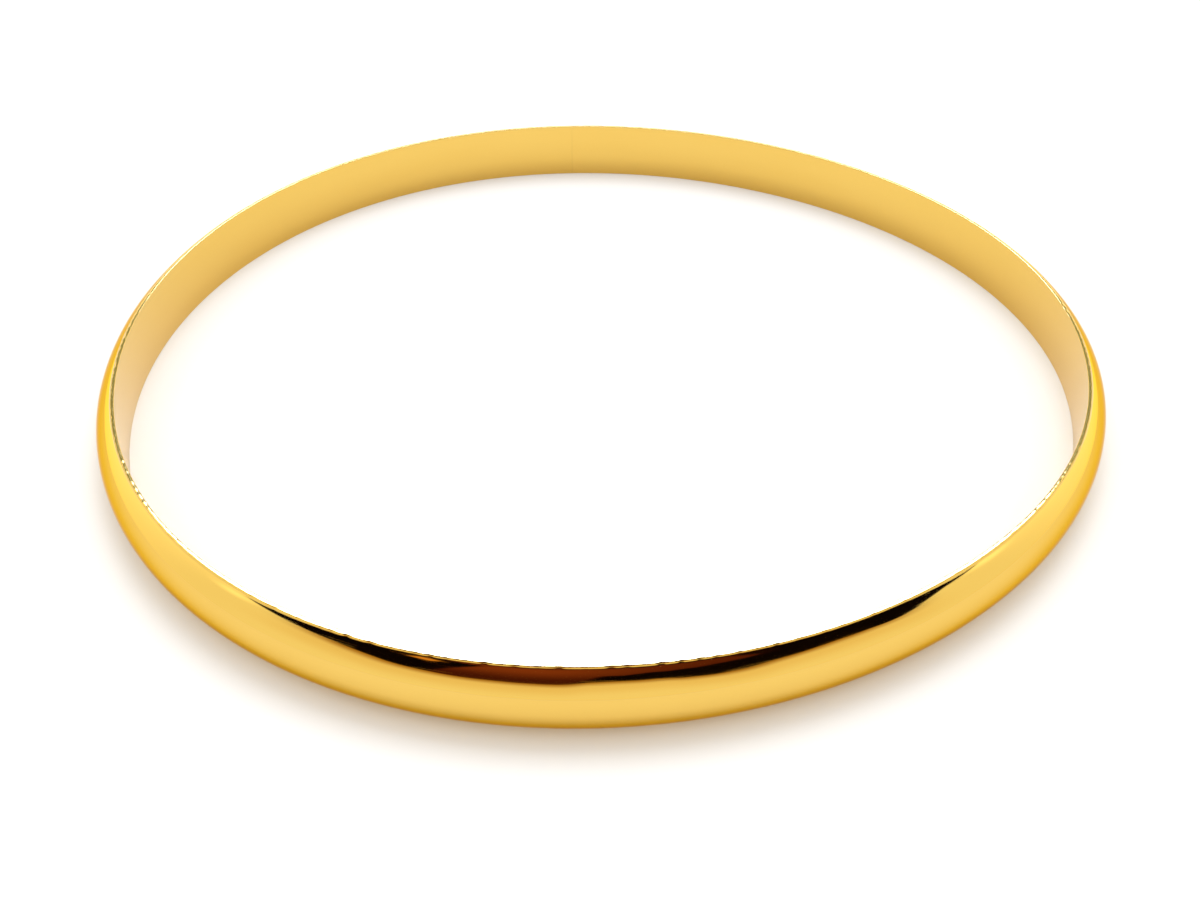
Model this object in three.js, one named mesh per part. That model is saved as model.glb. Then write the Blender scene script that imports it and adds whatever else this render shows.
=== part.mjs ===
// A hollow half-round bangle: a domed outer shell soldered onto a flat inner lining.
// Units are millimetres. The bangle lies flat on its lower rim, with +Z up, its axis on Z and the
// lower rim at Z = 0. Each piece is one section swept round the axis.
import * as THREE from "three";

// Driving dimensions
const INNER_RADIUS = 30; // of the inner face, so 60 mm across inside
const BAND_WIDTH = 4.2; // rim to rim, along Z
const BAND_THICKNESS = 1.4; // from the inner face to the crown of the dome
const LINING_THICKNESS = 0.22;
const SHEET_THICKNESS = 0.3; // of the domed shell
const UPPER_REVEAL = 0.06; // how far the lining stands past the shell at the upper rim
const LOWER_REVEAL = 0.2; // and at the lower rim
const RIM_CHAMFER = 0.03; // along the four corners of the lining
const LOBE_HEIGHT = 0.35; // the ring is this far out of round, on three gentle lobes
const SOLDER_BEAD = 0.08; // each side of the lower bead, and how far the upper one runs down the dome
const JOINT_WIDTH = 0.12; // of the solder that closes a ring
const LINING_JOINT_ANGLE = THREE.MathUtils.degToRad(94);
const SHELL_JOINT_ANGLE = THREE.MathUtils.degToRad(90);
const FIT_GAP = 0.02; // left between pieces that meet

// Fineness
const RING_STEPS = 144;
const DOME_STEPS = 14;
const HOLLOW_STEPS = 8;

// The dome is an arc between the two edges of the shell, which sit on the lining.
const SHELL_SEAT = LINING_THICKNESS + FIT_GAP;
const UPPER_EDGE = BAND_WIDTH - UPPER_REVEAL;
const LOWER_EDGE = LOWER_REVEAL;
const DOME_MIDDLE = (UPPER_EDGE + LOWER_EDGE) / 2;
const DOME_HALF_CHORD = (UPPER_EDGE - LOWER_EDGE) / 2;
const DOME_RISE = BAND_THICKNESS - SHELL_SEAT;
const DOME_RADIUS = (DOME_HALF_CHORD ** 2 + DOME_RISE ** 2) / (2 * DOME_RISE);
const DOME_CENTRE = BAND_THICKNESS - DOME_RADIUS;
const BEAD_LIFT = FIT_GAP / Math.sin(seatAngle(DOME_RADIUS)); // keeps a bead clear of the dome

const GOLD = { color: 0xf2c14e, roughness: 0.12, metalness: 1 };
const SATIN_GOLD = { color: 0xf0bf55, roughness: 0.3, metalness: 1 };
const SOLDER = { color: 0xcfa14a, roughness: 0.4, metalness: 1 };

// A section is a list of points, counter-clockwise, with x as the distance out from the inner face
// and y as the height.

// Points along the arc of the given radius about the dome's centre, from the seat at angle `from`
// to the seat at angle `to`.
function domeArc(radius, from, to, steps) {
  return Array.from({ length: steps + 1 }, (_, i) => {
    const angle = THREE.MathUtils.lerp(from, to, i / steps);
    return new THREE.Vector2(
      DOME_CENTRE + radius * Math.cos(angle),
      DOME_MIDDLE + radius * Math.sin(angle),
    );
  });
}

// The angle at which an arc about the dome's centre meets the seat.
function seatAngle(radius) {
  return Math.acos((SHELL_SEAT - DOME_CENTRE) / radius);
}

function shellSection() {
  const hollowRadius = DOME_RADIUS - SHEET_THICKNESS;
  const outer = seatAngle(DOME_RADIUS);
  const inner = seatAngle(hollowRadius);
  return [
    ...domeArc(DOME_RADIUS, -outer, outer, DOME_STEPS),
    ...domeArc(hollowRadius, inner, -inner, HOLLOW_STEPS),
  ];
}

// A flat strip with its four corners taken off.
function liningSection() {
  const t = LINING_THICKNESS;
  const w = BAND_WIDTH;
  const c = RIM_CHAMFER;
  return [
    new THREE.Vector2(c, 0),
    new THREE.Vector2(t - c, 0),
    new THREE.Vector2(t, c),
    new THREE.Vector2(t, w - c),
    new THREE.Vector2(t - c, w),
    new THREE.Vector2(c, w),
    new THREE.Vector2(0, w - c),
    new THREE.Vector2(0, c),
  ];
}

// A bead lies in the corner between the lining and the edge of the dome: `along` the dome, and `rise`
// up the lining. This is the one on the upper edge.
function beadSection(along, rise) {
  const edgeAngle = seatAngle(DOME_RADIUS);
  const root = new THREE.Vector2(SHELL_SEAT, UPPER_EDGE + BEAD_LIFT);
  const downTheDome = new THREE.Vector2(Math.sin(edgeAngle), -Math.cos(edgeAngle));
  const upTheLining = new THREE.Vector2(0, 1);
  return [
    root,
    root.clone().addScaledVector(downTheDome, along),
    root.clone().addScaledVector(upTheLining, rise),
  ];
}

// The upper bead is filed level with the rim.
function upperBeadSection() {
  return beadSection(SOLDER_BEAD, UPPER_REVEAL - BEAD_LIFT);
}

// The lower bead, turned over about the middle of the dome. Reversing the list keeps it
// counter-clockwise.
function lowerBeadSection() {
  return beadSection(SOLDER_BEAD, SOLDER_BEAD)
    .map((p) => new THREE.Vector2(p.x, 2 * DOME_MIDDLE - p.y))
    .reverse();
}

// How far the ring stands out from a true circle at this angle round the axis.
function lobe(angle) {
  return LOBE_HEIGHT * Math.cos(3 * angle);
}

// Sweeps a section round the axis. A full turn closes on itself, and a shorter span is capped.
function sweep(section, startAngle, endAngle, steps) {
  const size = section.length;
  const closed = Math.abs(endAngle - startAngle - 2 * Math.PI) < 1e-9;
  const stations = closed ? steps : steps + 1;
  const positions = [];
  for (let i = 0; i < stations; i++) {
    const angle = THREE.MathUtils.lerp(startAngle, endAngle, i / steps);
    for (const p of section) {
      const radius = INNER_RADIUS + lobe(angle) + p.x;
      positions.push(radius * Math.cos(angle), radius * Math.sin(angle), p.y);
    }
  }
  const faces = [];
  for (let i = 0; i < steps; i++) {
    const here = i * size;
    const next = ((i + 1) % stations) * size;
    for (let j = 0; j < size; j++) {
      const k = (j + 1) % size;
      faces.push(here + j, next + k, here + k);
      faces.push(here + j, next + j, next + k);
    }
  }
  if (!closed) {
    const last = (stations - 1) * size;
    for (const [a, b, c] of THREE.ShapeUtils.triangulateShape(section, [])) {
      faces.push(a, b, c);
      faces.push(last + a, last + c, last + b);
    }
  }
  const geometry = new THREE.BufferGeometry();
  geometry.setAttribute("position", new THREE.Float32BufferAttribute(positions, 3));
  geometry.setIndex(faces);
  geometry.computeVertexNormals();
  return geometry;
}

// A ring that is open at its joint, with room there for the solder.
function openRing(section, jointAngle) {
  const half = (JOINT_WIDTH / 2 + FIT_GAP) / INNER_RADIUS;
  return sweep(section, jointAngle + half, jointAngle + 2 * Math.PI - half, RING_STEPS);
}

// The solder that fills a joint.
function jointSolder(section, jointAngle) {
  const half = JOINT_WIDTH / 2 / INNER_RADIUS;
  return sweep(section, jointAngle - half, jointAngle + half, 1);
}

function wholeRing(section) {
  return sweep(section, 0, 2 * Math.PI, RING_STEPS);
}

const bangle = new THREE.Group();

function addPiece(name, geometry, finish) {
  const piece = new THREE.Mesh(geometry, new THREE.MeshStandardMaterial(finish));
  piece.name = name;
  bangle.add(piece);
}

addPiece("outer_shell", openRing(shellSection(), SHELL_JOINT_ANGLE), GOLD);
addPiece("inner_lining", openRing(liningSection(), LINING_JOINT_ANGLE), SATIN_GOLD);
addPiece("shell_joint_solder", jointSolder(shellSection(), SHELL_JOINT_ANGLE), SOLDER);
addPiece("lining_joint_solder", jointSolder(liningSection(), LINING_JOINT_ANGLE), SOLDER);
addPiece("upper_edge_solder", wholeRing(upperBeadSection()), SOLDER);
addPiece("lower_edge_solder", wholeRing(lowerBeadSection()), SOLDER);

export default bangle;
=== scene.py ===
"""A hollow half-round gold bangle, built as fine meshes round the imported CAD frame.

Everything is in metres in the frame's own axes: the bangle lies on its lower rim at Z = 0, with its
axis on Z. The domed shell, the lining, the two soldered joints and the two edge beads are each one
section swept round the axis, with the small unevenness of hand work in the mesh itself.
"""
import math

import bpy
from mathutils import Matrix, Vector, noise


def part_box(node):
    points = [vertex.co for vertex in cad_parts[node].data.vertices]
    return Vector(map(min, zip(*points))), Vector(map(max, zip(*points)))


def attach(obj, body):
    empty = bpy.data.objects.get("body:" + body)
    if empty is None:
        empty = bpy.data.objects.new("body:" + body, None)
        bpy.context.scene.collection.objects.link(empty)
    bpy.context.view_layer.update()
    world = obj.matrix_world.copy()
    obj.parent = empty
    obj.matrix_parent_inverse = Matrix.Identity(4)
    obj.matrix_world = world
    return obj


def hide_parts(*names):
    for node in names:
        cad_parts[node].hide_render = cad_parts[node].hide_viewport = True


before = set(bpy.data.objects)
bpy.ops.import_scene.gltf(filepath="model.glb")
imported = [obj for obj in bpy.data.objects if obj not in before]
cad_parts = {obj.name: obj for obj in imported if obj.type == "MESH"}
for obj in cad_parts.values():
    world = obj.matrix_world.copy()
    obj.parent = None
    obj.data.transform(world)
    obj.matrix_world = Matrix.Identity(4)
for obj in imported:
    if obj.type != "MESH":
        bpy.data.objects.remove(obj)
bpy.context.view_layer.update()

MM = 0.001

# ---------------------------------------------------------------- sizes, from the frame
shell_low, shell_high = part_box("outer_shell")
lining_low, lining_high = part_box("inner_lining")

LINING_THICKNESS = 0.22 * MM
SHEET_THICKNESS = 0.30 * MM
FIT_GAP = 0.001 * MM                      # between pieces that meet
BAND_WIDTH = lining_high.z
UPPER_EDGE = shell_high.z                 # the shell's two edges, where it meets the lining
LOWER_EDGE = shell_low.z
DOME_MIDDLE = (UPPER_EDGE + LOWER_EDGE) / 2
DOME_HALF_CHORD = (UPPER_EDGE - LOWER_EDGE) / 2
LOBE_HEIGHT = (shell_high.x + shell_low.x) / 2
CROWN_CLEARANCE = 0.005 * MM              # keeps the polished ripples inside the CAD crown
CROWN_RADIUS = (shell_high.x - shell_low.x) / 2 - CROWN_CLEARANCE
INNER_RADIUS = (lining_high.x - lining_low.x) / 2 - LINING_THICKNESS
BAND_THICKNESS = CROWN_RADIUS - INNER_RADIUS

JOINT_WIDTH = 0.10 * MM
LINING_JOINT_ANGLE = math.radians(94)
SHELL_JOINT_ANGLE = math.radians(90)

# The dome is an arc between the two edges of the shell, which sit on the lining.
SHELL_SEAT = LINING_THICKNESS + FIT_GAP
DOME_RISE = BAND_THICKNESS - SHELL_SEAT
DOME_RADIUS = (DOME_HALF_CHORD ** 2 + DOME_RISE ** 2) / (2 * DOME_RISE)
DOME_CENTRE = BAND_THICKNESS - DOME_RADIUS

# ---------------------------------------------------------------- fineness
RING_STEPS = 1080
RIM_STEPS = 2400                          # of the lining and its upper bead, which carry file marks
DOME_STEPS = 44
HOLLOW_STEPS = 14
EDGE_ROUND = 0.035 * MM                   # radius of the lining's four corners
EDGE_ROUND_STEPS = 4
SHARP_ANGLE = math.radians(35)            # edges turn smoothly up to this
JOINT_STEPS = 4

# ---------------------------------------------------------------- hand work
RIPPLE_HEIGHT = 0.0035 * MM               # of the polished dome
RIPPLE_LENGTH = 3.5 * MM
FILE_MARK_DEPTH = 0.010 * MM              # on the rims
FILE_MARK_LENGTH = 0.45 * MM
CORNER_WEAR = 2.4                         # how much rounder the upper outer corner is where filed most
LINING_RIPPLE_HEIGHT = 0.004 * MM
LINING_RIPPLE_LENGTH = 7.0 * MM
UPPER_BEAD_LENGTH = 0.09 * MM             # how far it runs down the dome
UPPER_BEAD_STEPS = 6
UPPER_BEAD_SPREAD = 0.3                   # share by which a bead is longer or shorter from place to place
LOWER_BEAD_SIZE = 0.05 * MM
LOWER_BEAD_SPREAD = 0.35
LOWER_BEAD_HOLLOW = 0.2                   # how far the fillet's face is drawn in to its root
BEAD_WAVE = 1.3 * MM                      # the length of that change

# Each kind of unevenness has its own stretch of noise.
DOME_SEED = 3.1
UPPER_RIM_SEED = 11.0
LINING_SEED = 23.0
LOWER_RIM_SEED = 47.0
UPPER_BEAD_SEED = 61.0
CORNER_SEED = 71.0
LOWER_BEAD_SEED = 89.0


def lobe(angle):
    """How far the ring stands out from a true circle at this angle round the axis."""
    return LOBE_HEIGHT * math.cos(3 * angle)


def unevenness(angle, across, length, seed):
    """Smooth noise from -1 to 1 on the ring, with features about `length` long."""
    around = Vector((math.cos(angle), math.sin(angle), 0)) * INNER_RADIUS / length
    return noise.noise(around + Vector((0, 0, across / length + seed)))


# ---------------------------------------------------------------- sections
# A section is a list of points, counter-clockwise, each (distance out from the inner face, height).
def seat_angle(radius):
    """The angle at which an arc about the dome's centre meets the seat on the lining."""
    return math.acos((SHELL_SEAT - DOME_CENTRE) / radius)


def dome_arc(radius, start, end, steps, angle=None):
    """Points on an arc about the dome's centre. Given the angle round the ring, they ripple a little."""
    points = []
    for i in range(steps + 1):
        turn = start + (end - start) * i / steps
        swell = 0.0
        if angle is not None:
            swell = RIPPLE_HEIGHT * unevenness(angle, turn * radius, RIPPLE_LENGTH, DOME_SEED)
        points.append((
            DOME_CENTRE + (radius + swell) * math.cos(turn),
            DOME_MIDDLE + (radius + swell) * math.sin(turn),
        ))
    return points


def shell_section(angle):
    hollow_radius = DOME_RADIUS - SHEET_THICKNESS
    outer = seat_angle(DOME_RADIUS)
    inner = seat_angle(hollow_radius)
    return (
        dome_arc(DOME_RADIUS, -outer, outer, DOME_STEPS, angle)
        + dome_arc(hollow_radius, inner, -inner, HOLLOW_STEPS)
    )


def worn_corner(angle):
    """The radius of the lining's upper outer corner, which filing has rounded unevenly."""
    wear = max(0.0, unevenness(angle, 0, FILE_MARK_LENGTH, CORNER_SEED))
    return EDGE_ROUND * (1 + CORNER_WEAR * wear)


def lining_section(angle):
    """A flat strip with rounded corners. Filing has left the two rims slightly uneven."""
    upper_mark = FILE_MARK_DEPTH * (1 - unevenness(angle, 0, FILE_MARK_LENGTH, UPPER_RIM_SEED)) / 2
    lower_mark = FILE_MARK_DEPTH * (1 - unevenness(angle, 0, FILE_MARK_LENGTH, LOWER_RIM_SEED)) / 2
    wave = LINING_RIPPLE_HEIGHT * unevenness(angle, 0, LINING_RIPPLE_LENGTH, LINING_SEED)
    top = BAND_WIDTH - upper_mark
    bottom = lower_mark
    plain, worn = EDGE_ROUND, worn_corner(angle)
    corners = [
        (plain, bottom + plain, plain, 180),
        (LINING_THICKNESS - plain, bottom + plain, plain, 270),
        (LINING_THICKNESS - worn, top - worn, worn, 0),
        (plain, top - plain, plain, 90),
    ]
    points = []
    for out, height, radius, start in corners:
        for i in range(EDGE_ROUND_STEPS + 1):
            turn = math.radians(start + 90 * i / EDGE_ROUND_STEPS)
            points.append((
                wave + out + radius * math.cos(turn),
                height + radius * math.sin(turn),
            ))
    return points


def upper_bead_section(angle):
    """Solder filed and polished into one sweep with the dome, up to the rim."""
    edge = seat_angle(DOME_RADIUS)
    change = UPPER_BEAD_SPREAD * unevenness(angle, 0, BEAD_WAVE, UPPER_BEAD_SEED)
    length = UPPER_BEAD_LENGTH * (1 + change)
    foot_turn = edge - length / DOME_RADIUS
    on_the_dome = dome_arc(DOME_RADIUS + FIT_GAP, foot_turn, edge, UPPER_BEAD_STEPS)
    foot, root = Vector(on_the_dome[0]), Vector(on_the_dome[-1])
    root.x = SHELL_SEAT
    crest = Vector((SHELL_SEAT, BAND_WIDTH - worn_corner(angle) / 2))
    tangent = Vector((-math.sin(foot_turn), math.cos(foot_turn)))
    pull = foot + tangent * ((crest - foot).length / 2)
    skin = []
    for i in range(UPPER_BEAD_STEPS + 1):
        t = i / UPPER_BEAD_STEPS
        skin.append(foot * (1 - t) ** 2 + pull * 2 * t * (1 - t) + crest * t ** 2)
    inside = [Vector(p) for p in reversed(on_the_dome[1:-1])]
    return [tuple(p) for p in skin + [root] + inside]


def lower_bead_section(angle):
    """A hollow fillet in the corner between the dome's lower edge and the lining."""
    change = LOWER_BEAD_SPREAD * unevenness(angle, 0, BEAD_WAVE, LOWER_BEAD_SEED)
    size = LOWER_BEAD_SIZE * (1 + change)
    edge = seat_angle(DOME_RADIUS)
    root = Vector((SHELL_SEAT, LOWER_EDGE - FIT_GAP / math.sin(edge)))
    up_the_dome = root + size * Vector((math.sin(edge), math.cos(edge)))
    down_the_lining = root - size * Vector((0, 1))
    middle = (up_the_dome + down_the_lining) / 2
    hollow = middle.lerp(root, LOWER_BEAD_HOLLOW)
    return [tuple(root), tuple(down_the_lining), tuple(hollow), tuple(up_the_dome)]


# ---------------------------------------------------------------- meshes
def sweep(name, section_at, start, end, steps):
    """A closed mesh swept from start to end. A full turn closes on itself, a shorter one is capped."""
    whole = abs(end - start - 2 * math.pi) < 1e-9
    stations = steps if whole else steps + 1
    verts, coords = [], []
    for i in range(stations):
        angle = start + (end - start) * i / steps
        section = section_at(angle)
        length = 0.0
        for j, (out, height) in enumerate(section):
            radius = INNER_RADIUS + lobe(angle) + out
            verts.append((radius * math.cos(angle), radius * math.sin(angle), height))
            if j:
                length += math.dist(section[j - 1], section[j])
            coords.append(length / MM)
    size = len(section)
    faces = []
    for i in range(steps):
        here, there = i * size, ((i + 1) % stations) * size
        for j in range(size):
            k = (j + 1) % size
            faces.append((here + j, there + j, there + k, here + k))
    if not whole:
        last = (stations - 1) * size
        faces.append(tuple(range(size)))
        faces.append(tuple(last + j for j in reversed(range(size))))
    mesh = bpy.data.meshes.new(name)
    mesh.from_pydata(verts, [], faces)
    mesh.validate()
    add_ring_uv(mesh, size, steps, start, end, coords)
    mesh.shade_smooth()
    mesh.set_sharp_from_angle(angle=SHARP_ANGLE)
    piece = bpy.data.objects.new(name, mesh)
    bpy.context.scene.collection.objects.link(piece)
    return piece


def add_ring_uv(mesh, size, steps, start, end, coords):
    """A UV map in millimetres: U round the ring, V across the section."""
    uv = mesh.uv_layers.new(name="ring")
    around = (end - start) * INNER_RADIUS / MM / steps
    for polygon in mesh.polygons:
        columns = [mesh.loops[i].vertex_index // size for i in polygon.loop_indices]
        wraps = max(columns) - min(columns) > 1
        for loop, column in zip(polygon.loop_indices, columns):
            if wraps and column == 0:
                column = steps
            uv.data[loop].uv = (column * around, coords[mesh.loops[loop].vertex_index])


def open_ring(name, section_at, joint_angle, steps=RING_STEPS):
    half = (JOINT_WIDTH / 2 + FIT_GAP) / INNER_RADIUS
    return sweep(name, section_at, joint_angle + half, joint_angle + 2 * math.pi - half, steps)


def joint_solder(name, section_at, joint_angle):
    half = JOINT_WIDTH / 2 / INNER_RADIUS
    return sweep(name, section_at, joint_angle - half, joint_angle + half, JOINT_STEPS)


def whole_ring(name, section_at, steps=RING_STEPS):
    return sweep(name, section_at, 0.0, 2 * math.pi, steps)


# ---------------------------------------------------------------- materials
class Nodes:
    """A short way to write a node tree."""

    def __init__(self, tree):
        self.tree = tree

    def add(self, kind, inputs=(), **settings):
        node = self.tree.nodes.new(kind)
        for key, value in settings.items():
            setattr(node, key, value)
        for key, value in dict(inputs).items():
            self.set(node.inputs[key], value)
        return node

    def set(self, socket, value):
        if isinstance(value, bpy.types.NodeSocket):
            self.tree.links.new(value, socket)
        else:
            socket.default_value = value

    def math(self, operation, a, b=0.0):
        return self.add("ShaderNodeMath", {0: a, 1: b}, operation=operation).outputs[0]

    def remap(self, value, low, high, to_low=0.0, to_high=1.0, smooth=True):
        kind = "SMOOTHSTEP" if smooth else "LINEAR"
        inputs = {
            "Value": value,
            "From Min": low,
            "From Max": high,
            "To Min": to_low,
            "To Max": to_high,
        }
        return self.add("ShaderNodeMapRange", inputs, interpolation_type=kind).outputs["Result"]

    def mix(self, factor, a, b):
        node = self.add("ShaderNodeMix", data_type="RGBA")
        self.set(node.inputs["Factor"], factor)
        self.set(node.inputs[6], a)
        self.set(node.inputs[7], b)
        return node.outputs[2]

    def bump(self, height, depth, under=None):
        """Relief of the given depth in metres, on top of another relief if there is one."""
        node = self.add("ShaderNodeBump", {"Height": height, "Distance": depth, "Strength": 1.0})
        if under:
            self.set(node.inputs["Normal"], under)
        return node.outputs[0]

    def stretched_noise(self, coords, along, across, detail=2.0, roughness=0.5):
        """Noise whose features are `along` mm long round the ring and `across` mm wide."""
        fineness = (1 / along, 1 / across, 1)
        scale = self.add("ShaderNodeVectorMath", {0: coords, 1: fineness}, operation="MULTIPLY")
        inputs = {"Vector": scale.outputs[0], "Scale": 1.0, "Detail": detail, "Roughness": roughness}
        return self.add("ShaderNodeTexNoise", inputs, noise_dimensions="2D").outputs["Fac"]


def new_material(name):
    material = bpy.data.materials.new(name)
    material.use_nodes = True
    material.node_tree.nodes.clear()
    nodes = Nodes(material.node_tree)
    output = nodes.add("ShaderNodeOutputMaterial")
    shader = nodes.add("ShaderNodeBsdfPrincipled")
    nodes.tree.links.new(shader.outputs[0], output.inputs["Surface"])
    shader.inputs["Metallic"].default_value = 1.0
    coords = nodes.add("ShaderNodeUVMap", uv_map="ring").outputs["UV"]
    return material, nodes, shader, coords


EDGE_TINT = (0.85, 0.62, 0.28, 1)         # of polished gold seen nearly edge on
GOLD = (0.79, 0.52, 0.122, 1)
GOLD_WARM = (0.77, 0.495, 0.108, 1)
SOLDER = (0.77, 0.505, 0.118, 1)
SOLDER_DULL = (0.73, 0.465, 0.105, 1)
RECESS_PAINTED_SHADE = (0.50, 0.30, 0.065, 1)           # painted shade: solder darkened to stand for the shadow in the corner under the dome's lower edge
RECESS_PAINTED_SHADE_DEEP = (0.38, 0.22, 0.045, 1)
RIM_ROUGHNESS = 0.09                      # of the filed and polished rims


def polished_gold():
    """Mirror polish with faint ripples, a haze of fine buffing lines and a few hairline scratches."""
    material, nodes, shader, coords = new_material("polished_gold")
    shader.inputs["Specular Tint"].default_value = EDGE_TINT
    tone = nodes.stretched_noise(coords, 9.0, 2.5)
    nodes.set(shader.inputs["Base Color"], nodes.mix(tone, GOLD, GOLD_WARM))
    haze = nodes.remap(nodes.stretched_noise(coords, 6.0, 1.2), 0.35, 0.75, 0.045, 0.075)
    buffing = nodes.stretched_noise(coords, 5.0, 0.03, detail=3.0)
    roughness = nodes.math("ADD", haze, nodes.math("MULTIPLY", buffing, 0.02))
    nodes.set(shader.inputs["Roughness"], roughness)
    ripple = nodes.stretched_noise(coords, 2.6, 0.9, detail=1.0)
    scratches = nodes.remap(nodes.stretched_noise(coords, 4.0, 0.02, detail=1.0), 0.72, 0.80)
    coarse = nodes.bump(ripple, 0.004 * MM)
    nodes.set(shader.inputs["Normal"], nodes.bump(scratches, -0.0003 * MM, under=coarse))
    return material


def satin_gold():
    """Drawn and burnished strip: soft lines round the ring on the faces, and brighter filed rims."""
    material, nodes, shader, coords = new_material("satin_gold")
    tone = nodes.stretched_noise(coords, 14.0, 3.0)
    nodes.set(shader.inputs["Base Color"], nodes.mix(tone, GOLD, GOLD_WARM))
    lines = nodes.stretched_noise(coords, 12.0, 0.05, detail=4.0, roughness=0.6)
    satin = nodes.remap(lines, 0.2, 0.8, 0.14, 0.22, smooth=False)
    place = nodes.add("ShaderNodeTexCoord").outputs["Object"]
    height = nodes.add("ShaderNodeSeparateXYZ", {0: place}).outputs["Z"]
    from_middle = nodes.math("ABSOLUTE", nodes.math("SUBTRACT", height, BAND_WIDTH / 2))
    face_end = BAND_WIDTH / 2 - EDGE_ROUND * 1.2
    rim_start = BAND_WIDTH / 2 - EDGE_ROUND * 0.6
    on_the_face = nodes.remap(from_middle, face_end, rim_start, 1.0, 0.0)
    face_roughness = nodes.math("MULTIPLY", on_the_face, satin)
    rim_roughness = nodes.remap(from_middle, face_end, rim_start, 0.0, RIM_ROUGHNESS)
    nodes.set(shader.inputs["Roughness"], nodes.math("ADD", rim_roughness, face_roughness))
    grooves = nodes.stretched_noise(coords, 9.0, 0.07, detail=3.0, roughness=0.6)
    nodes.set(shader.inputs["Normal"], nodes.bump(grooves, 0.0012 * MM))
    return material


def solder_gold(name, colour, dull_colour, smoothest, roughest, grain):
    """Gold solder, mottled and with a grainy skin."""
    material, nodes, shader, coords = new_material(name)
    tone = nodes.stretched_noise(coords, 1.2, 0.4, detail=3.0)
    nodes.set(shader.inputs["Base Color"], nodes.mix(tone, colour, dull_colour))
    nodes.set(shader.inputs["Roughness"], nodes.remap(tone, 0.3, 0.7, smoothest, roughest, smooth=False))
    nodes.set(shader.inputs["Normal"], nodes.bump(tone, grain))
    return material


# ---------------------------------------------------------------- pieces
def dress(piece, node, material):
    piece.data.materials.append(material)
    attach(piece, "root")
    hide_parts(node)


polished = polished_gold()
satin = satin_gold()
solder = solder_gold("gold_solder", SOLDER, SOLDER_DULL, 0.07, 0.13, 0.001 * MM)
# painted shade: the lower bead's solder is darker and rougher, standing for the shadow under the dome's
# lower edge
recess_solder_painted_shade = solder_gold("gold_solder_painted_shade", RECESS_PAINTED_SHADE, RECESS_PAINTED_SHADE_DEEP, 0.28, 0.45, 0.004 * MM)

shell = open_ring("domed_shell", shell_section, SHELL_JOINT_ANGLE)
lining = open_ring("flat_lining", lining_section, LINING_JOINT_ANGLE, RIM_STEPS)
shell_joint = joint_solder("shell_joint", shell_section, SHELL_JOINT_ANGLE)
lining_joint = joint_solder("lining_joint", lining_section, LINING_JOINT_ANGLE)
upper_bead = whole_ring("upper_bead", upper_bead_section, RIM_STEPS)
lower_bead = whole_ring("lower_bead", lower_bead_section)

dress(shell, "outer_shell", polished)
dress(lining, "inner_lining", satin)
dress(shell_joint, "shell_joint_solder", solder)
dress(lining_joint, "lining_joint_solder", solder)
dress(upper_bead, "upper_edge_solder", solder)
dress(lower_bead, "lower_edge_solder", recess_solder_painted_shade)


# ---------------------------------------------------------------- camera
CAMERA_DISTANCE = 86.0 * MM               # from the ring's centre on the floor
CAMERA_ELEVATION = math.radians(34.09)
CAMERA_TILT = math.radians(3.42)          # aimed this far below the centre
CAMERA_TURN = math.radians(-0.134)        # and this far to the left of it, or right if below zero
LENS = 38.9                               # millimetres on a 36 mm wide frame


def add_camera():
    data = bpy.data.cameras.new("camera")
    data.sensor_width = 36.0
    data.lens = LENS
    data.clip_start, data.clip_end = 0.001, 20.0
    camera = bpy.data.objects.new("camera", data)
    bpy.context.scene.collection.objects.link(camera)
    camera.location = (
        0.0,
        -CAMERA_DISTANCE * math.cos(CAMERA_ELEVATION),
        CAMERA_DISTANCE * math.sin(CAMERA_ELEVATION),
    )
    camera.rotation_euler = (math.radians(90) - CAMERA_ELEVATION - CAMERA_TILT, 0.0, CAMERA_TURN)
    bpy.context.scene.camera = camera


add_camera()

# ---------------------------------------------------------------- studio
# Directions are given as an azimuth from the camera's side of the ring, with more to the right, and
# an elevation above the floor, both in degrees.
FLOOR_RADIUS = 1.5
FLOOR_STEPS = 96
FLOOR_WHITE = 0.92
DAYLIGHT = 1.09                           # even light from all round

KEY_SIZE = 0.5                            # a soft light high over the back of the ring
KEY_AZIMUTH, KEY_ELEVATION = 165, 72
KEY_DISTANCE = 0.9
KEY_POWER = 2.3

# The room is what the polished gold mirrors: pale walls, a dark ceiling, a dark side behind the
# camera with a warm brown shape and a small lamp in it, a brighter patch by each end of the dark
# side, and a bright window opposite with a grey sill. Only reflections see it.
ROOM_RADIUS = 0.6
ROOM_COLUMNS, ROOM_ROWS = 720, 200
WALL_LIGHT = Vector((1.18, 1.18, 1.10))
WALL_WARM = Vector((1.08, 0.98, 0.76))    # a little below the dark side
WALL_BROWN = Vector((0.50, 0.28, 0.05))   # right below it
WARM_DEPTH, BROWN_DEPTH = 34, 10
BACK_GLOW = 0.55                          # how much brighter the walls are at the back
GLOW_FULL, GLOW_END = 40, 100             # this far from straight behind
WARM_FULL, WARM_END = 55, 80              # the warm part of the wall, either side of the camera
ROOM_DARK = Vector((0.004, 0.002, 0.002))
SHAPE_BROWN = Vector((0.26, 0.058, 0.022))
SHAPE_DEEP = Vector((0.075, 0.014, 0.006))  # at its bottom and its right end
WINDOW_LIGHT = Vector((10, 13, 34))       # daylight, far brighter than the room
STRIP_GREY = Vector((0.34, 0.40, 0.36))   # the sill under the window
GLINT_LIGHT = 0.45
LAMP_LIGHT = Vector((0.9, 0.4, 0.09))

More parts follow.
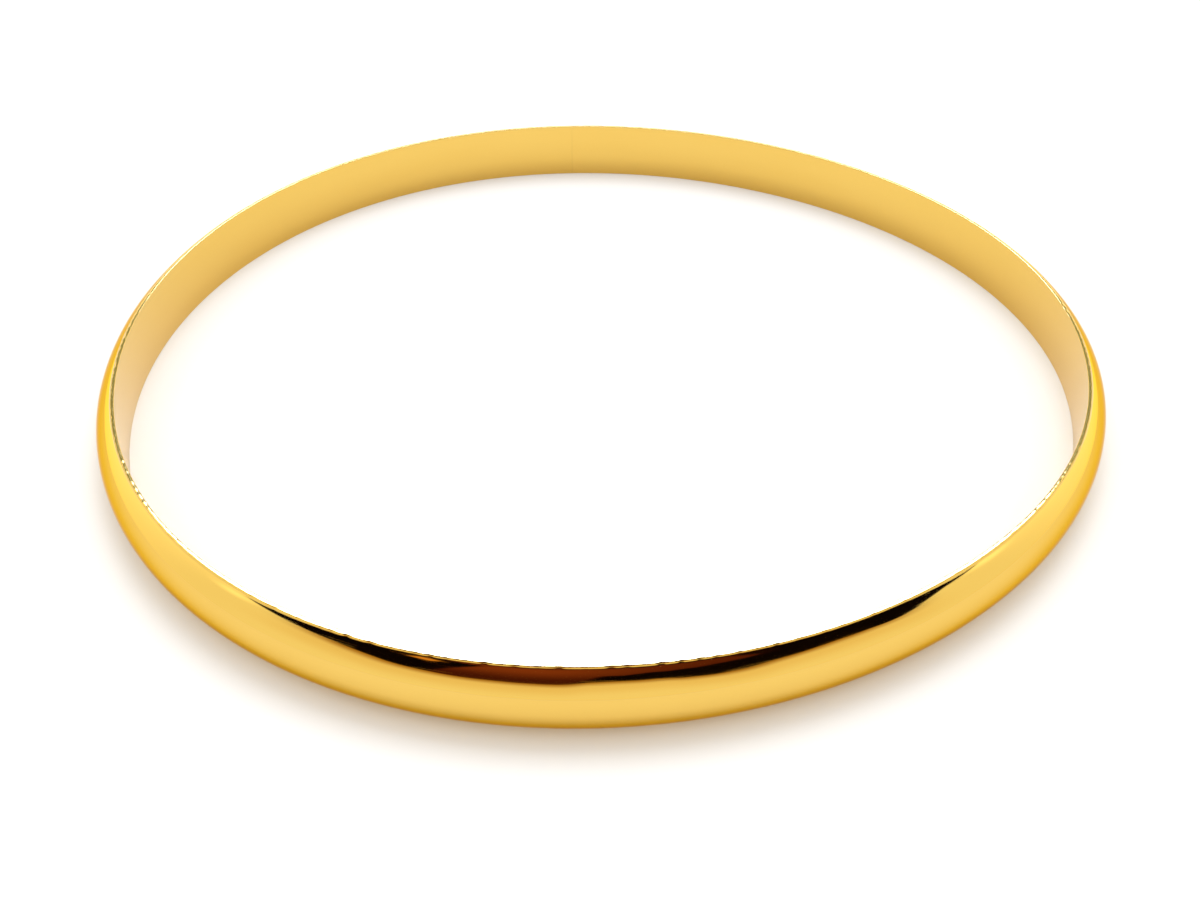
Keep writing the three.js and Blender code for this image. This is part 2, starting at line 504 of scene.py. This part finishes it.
CEILING_BOTTOM = 69                       # the dark ceiling starts this high
DARK_LEFT, DARK_RIGHT = -88, 100
END_CLIMB = 36
DARK_BOTTOM = 36                          # and the dark side reaches down to here
SHAPE_LEFT, SHAPE_RIGHT = -33, 48
SHAPE_BOTTOM_LEFT, SHAPE_BOTTOM_RIGHT, SHAPE_TOP = 34, 55, 88
WINDOW_HALF_WIDTH = 30                    # either side of straight behind the ring
WINDOW_BOTTOM, WINDOW_TOP = 38, 57
STRIP_BOTTOM, STRIP_FULL, STRIP_END = 27, 45, 60
GLINTS = ((-86, 38), (94, 36))            # azimuth and elevation of the two brighter patches
GLINT_RADIUS = 8
LAMP_LEFT, LAMP_RIGHT, LAMP_BOTTOM, LAMP_TOP = -52, -44, 58, 62
DARK_SEED, SHAPE_SEED = 5.0, 1.0          # of the wavering of the two lower edges
SOFTNESS = 0.4                            # of those edges


def direction(azimuth, elevation):
    azimuth, elevation = math.radians(azimuth), math.radians(elevation)
    return Vector((
        math.sin(azimuth) * math.cos(elevation),
        -math.cos(azimuth) * math.cos(elevation),
        math.sin(elevation),
    ))


def smooth_step(value, start, end):
    t = min(max((value - start) / (end - start), 0.0), 1.0)
    return t * t * (3 - 2 * t)


def between(value, low, high, soft):
    """1 between low and high, 0 outside, with edges this soft."""
    return smooth_step(value, low - soft, low + soft) * (1 - smooth_step(value, high - soft, high + soft))


def sway(azimuth, length, seed):
    """Smooth noise from -1 to 1, with features about `length` degrees wide."""
    return noise.noise(Vector((azimuth / length, seed, 0.0)))


def ceiling_bottom(azimuth):
    """The dark ceiling comes down to the top of the window at the back."""
    behind = smooth_step(abs(azimuth), 125, 145)
    return CEILING_BOTTOM + (WINDOW_TOP - CEILING_BOTTOM) * behind


def dark_bottom(azimuth):
    """The lower edge of the dark side. It waves, and climbs to the ceiling at its two ends."""
    ends = smooth_step(-azimuth, -DARK_LEFT, -DARK_LEFT + 9)
    ends += smooth_step(azimuth, DARK_RIGHT, DARK_RIGHT + 7)
    shoulders = 7 * smooth_step(-azimuth, 34, 62) + 3.5 * smooth_step(azimuth, 72, 85)
    wave = 5 * between(azimuth, -1, 19, 3) - 3 * between(azimuth, 25, 36, 4)
    wave += 1.5 * between(azimuth, 40, 55, 6) - 3.5 * between(azimuth, 62, 72, 4)
    wave += sway(azimuth, 12, DARK_SEED)
    return min(ceiling_bottom(azimuth), DARK_BOTTOM + END_CLIMB * ends + shoulders + wave)


def shape_bottom(azimuth):
    """The lower edge of the brown shape, with a step up to the right of the middle."""
    climb = (SHAPE_BOTTOM_RIGHT - SHAPE_BOTTOM_LEFT) * smooth_step(azimuth, -6, 8)
    return SHAPE_BOTTOM_LEFT + climb + 3 * sway(azimuth, 7, SHAPE_SEED)


def room_light(azimuth, elevation):
    """The light that comes from the room in this direction, as red, green and blue."""
    from_back = 180 - abs(azimuth)
    light = WALL_LIGHT * (1 + BACK_GLOW * (1 - smooth_step(from_back, GLOW_FULL, GLOW_END)))

    edge = dark_bottom(azimuth)
    front = 1 - smooth_step(abs(azimuth), WARM_FULL, WARM_END)
    light = light.lerp(WALL_WARM, front * smooth_step(elevation, edge - WARM_DEPTH, edge - BROWN_DEPTH))
    light = light.lerp(WALL_BROWN, front * smooth_step(elevation, edge - BROWN_DEPTH, edge))
    for glint_azimuth, glint_elevation in GLINTS:
        apart = math.hypot(azimuth - glint_azimuth, elevation - glint_elevation)
        light = light + Vector((1, 1, 1)) * GLINT_LIGHT * (1 - smooth_step(apart, 0, GLINT_RADIUS))

    strip = between(elevation, STRIP_BOTTOM, WINDOW_BOTTOM, 1)
    strip *= 1 - smooth_step(from_back, STRIP_FULL, STRIP_END)
    light = light.lerp(STRIP_GREY, strip)
    window = between(elevation, WINDOW_BOTTOM, WINDOW_TOP, 1)
    window *= 1 - smooth_step(from_back, WINDOW_HALF_WIDTH - 1, WINDOW_HALF_WIDTH + 1)
    light = light.lerp(WINDOW_LIGHT, window)

    light = light.lerp(ROOM_DARK, smooth_step(elevation, edge - SOFTNESS, edge + SOFTNESS))
    shape = between(azimuth, SHAPE_LEFT, SHAPE_RIGHT, SOFTNESS)
    shape *= between(elevation, max(edge, shape_bottom(azimuth)), SHAPE_TOP, SOFTNESS)
    shine = smooth_step(elevation, 42, 66) * (1 - 0.7 * smooth_step(azimuth, -20, 40))
    light = light.lerp(SHAPE_DEEP.lerp(SHAPE_BROWN, shine), shape)
    lamp = between(azimuth, LAMP_LEFT, LAMP_RIGHT, 1) * between(elevation, LAMP_BOTTOM, LAMP_TOP, 1)
    return light.lerp(LAMP_LIGHT, lamp)


def stage_mesh(name, verts, faces, material):
    mesh = bpy.data.meshes.new(name)
    mesh.from_pydata(verts, [], faces)
    mesh.materials.append(material)
    item = bpy.data.objects.new(name, mesh)
    bpy.context.scene.collection.objects.link(item)
    return item


def floor_white():
    material = bpy.data.materials.new("floor_white")
    material.use_nodes = True
    shader = material.node_tree.nodes["Principled BSDF"]
    shader.inputs["Base Color"].default_value = (FLOOR_WHITE, FLOOR_WHITE, FLOOR_WHITE, 1)
    shader.inputs["Roughness"].default_value = 0.7
    shader.inputs["Specular IOR Level"].default_value = 0.0
    return material


def add_floor():
    rim = [2 * math.pi * i / FLOOR_STEPS for i in range(FLOOR_STEPS)]
    verts = [(FLOOR_RADIUS * math.cos(a), FLOOR_RADIUS * math.sin(a), 0.0) for a in rim]
    stage_mesh("floor", verts, [tuple(range(FLOOR_STEPS))], floor_white())


def room_glow():
    """Shines with the light stored at each point of the room's mesh."""
    material = bpy.data.materials.new("room_glow")
    material.use_nodes = True
    material.node_tree.nodes.clear()
    nodes = Nodes(material.node_tree)
    light = nodes.add("ShaderNodeAttribute", attribute_name="light").outputs["Color"]
    emission = nodes.add("ShaderNodeEmission", {"Color": light})
    nodes.add("ShaderNodeOutputMaterial", {"Surface": emission.outputs[0]})
    material.cycles.emission_sampling = "NONE"
    return material


def add_room():
    """A half sphere round the ring that only the gold's reflections see."""
    verts, lights, faces = [], [], []
    for i in range(ROOM_COLUMNS):
        azimuth = 360 * i / ROOM_COLUMNS - 180
        for j in range(ROOM_ROWS):
            elevation = 90 * j / ROOM_ROWS
            verts.append(direction(azimuth, elevation) * ROOM_RADIUS)
            lights.extend((*room_light(azimuth, elevation), 1.0))
    for i in range(ROOM_COLUMNS):
        here, there = i * ROOM_ROWS, (i + 1) % ROOM_COLUMNS * ROOM_ROWS
        for j in range(ROOM_ROWS - 1):
            faces.append((here + j, there + j, there + j + 1, here + j + 1))
    room = stage_mesh("room", verts, faces, room_glow())
    attribute = room.data.attributes.new("light", "FLOAT_COLOR", "POINT")
    attribute.data.foreach_set("color", lights)
    room.visible_camera = False
    room.visible_diffuse = False
    room.visible_shadow = False


def add_key_light():
    data = bpy.data.lights.new("key", "AREA")
    data.size = KEY_SIZE
    data.energy = KEY_POWER
    light = bpy.data.objects.new("key", data)
    bpy.context.scene.collection.objects.link(light)
    light.location = direction(KEY_AZIMUTH, KEY_ELEVATION) * KEY_DISTANCE
    light.rotation_euler = (-light.location).to_track_quat("-Z", "Y").to_euler()
    light.visible_glossy = False


def add_world():
    world = bpy.data.worlds.new("daylight")
    bpy.context.scene.world = world
    world.use_nodes = True
    background = world.node_tree.nodes["Background"]
    background.inputs["Color"].default_value = (1, 1, 1, 1)
    background.inputs["Strength"].default_value = DAYLIGHT


add_floor()
add_room()
add_key_light()
add_world()
bpy.context.scene.view_settings.view_transform = "Standard"
